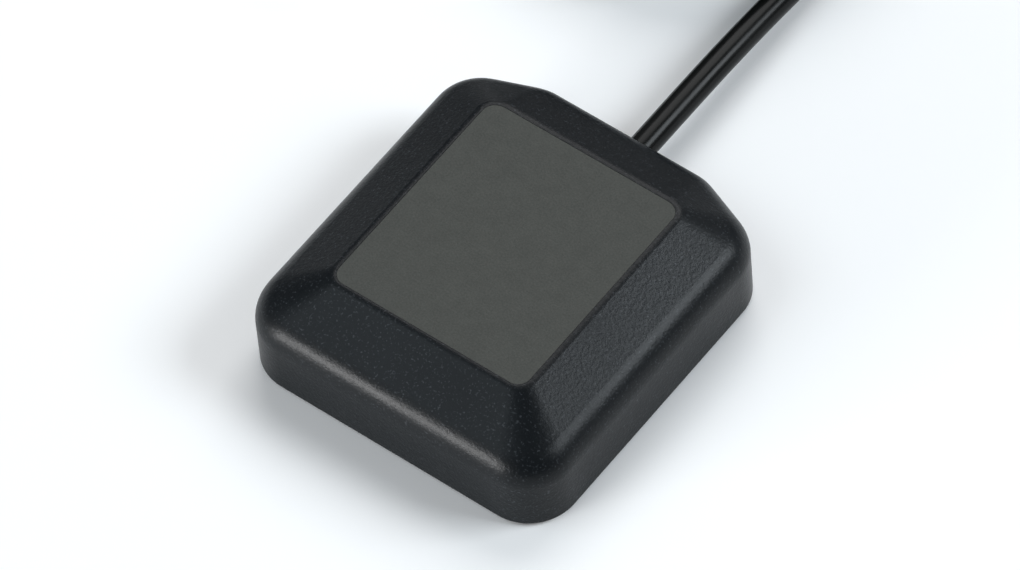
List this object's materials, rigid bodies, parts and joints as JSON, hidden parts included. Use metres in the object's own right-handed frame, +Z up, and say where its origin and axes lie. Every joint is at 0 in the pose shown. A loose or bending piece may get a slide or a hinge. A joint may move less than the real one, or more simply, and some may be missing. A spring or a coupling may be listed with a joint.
{
  "type": "gnss receiver",
  "caption": "Small magnetic-mount satellite positioning receiver: a low square housing with sloped shoulders and a fixed USB cable.",
  "frame": {"origin": "on the surface it stands on, under the middle of the housing", "axes": "+Z up through the flat top, +Y towards the back wall where the cable leaves, +X to the right seen from the front"},
  "size_m": [0.0841, 0.116, 0.0136],
  "materials": {
    "housing_plastic": "black ABS with a fine spark-eroded grain",
    "label_face": "dark grey matte film",
    "base_plastic": "black moulded plastic",
    "foot_rubber": "thin rubber sheet",
    "seal_rubber": "silicone gasket",
    "screw_steel": "zinc plated",
    "magnet_nickel": "nickel plated magnet",
    "cable_jacket": "semi-gloss black PVC",
    "grommet_rubber": "moulded rubber",
    "crimp_metal": "tinned brass",
    "board_laminate": "green solder mask",
    "adhesive_tape": "foam tape",
    "silver_layer": "fired silver",
    "ceramic": "dielectric ceramic",
    "pin_brass": "tinned brass pin",
    "solder": "reflowed solder",
    "module_laminate": "blue solder mask",
    "shield_metal": "tin plated steel can",
    "chip_epoxy": "moulded epoxy",
    "filter_ceramic": "ceramic package",
    "capacitor_ceramic": "ceramic body, tinned ends",
    "cell_steel": "stainless can",
    "wire_red": "PVC",
    "wire_white": "PVC",
    "wire_green": "PVC",
    "wire_black": "PVC",
    "strap_fabric": "hook-and-loop strap",
    "plug_pvc": "overmoulded PVC",
    "shell_nickel": "nickel plated steel",
    "insulator_plastic": "white PBT",
    "contact_gold": "gold plated"
  },
  "bodies": {
    "root": {"top_cover": "housing_plastic", "top_label": "label_face", "base_plate": "base_plastic", "perimeter_seal": "seal_rubber", "foot_pad": "foot_rubber", "cover_screws": "screw_steel", "magnet_front": "magnet_nickel", "magnet_rear": "magnet_nickel", "cable_grommet": "grommet_rubber", "cable_crimp": "crimp_metal", "cable_inner_end": "cable_jacket", "circuit_board": "board_laminate", "patch_adhesive": "adhesive_tape", "patch_ground_plate": "silver_layer", "patch_ceramic": "ceramic", "patch_electrode_face": "silver_layer", "feed_pin": "pin_brass", "feed_solder": "solder", "module_board": "module_laminate", "module_can": "shield_metal", "low_noise_amplifier": "chip_epoxy", "band_filter": "filter_ceramic", "voltage_regulator": "chip_epoxy", "surge_protector": "chip_epoxy", "settings_memory": "chip_epoxy", "supply_inductor": "chip_epoxy", "capacitors": "capacitor_ceramic", "resistors": "chip_epoxy", "backup_cell": "cell_steel", "wire_solder": "solder", "wire_red": "wire_red", "wire_white": "wire_white", "wire_green": "wire_green", "wire_black": "wire_black", "cable_lead": "cable_jacket", "cable_coil": "cable_jacket", "cable_tail": "cable_jacket", "coil_ties": "strap_fabric", "plug_overmould": "plug_pvc", "plug_shell": "shell_nickel", "plug_insulator": "insulator_plastic", "plug_contacts": "contact_gold"}
  },
  "joints": []
}
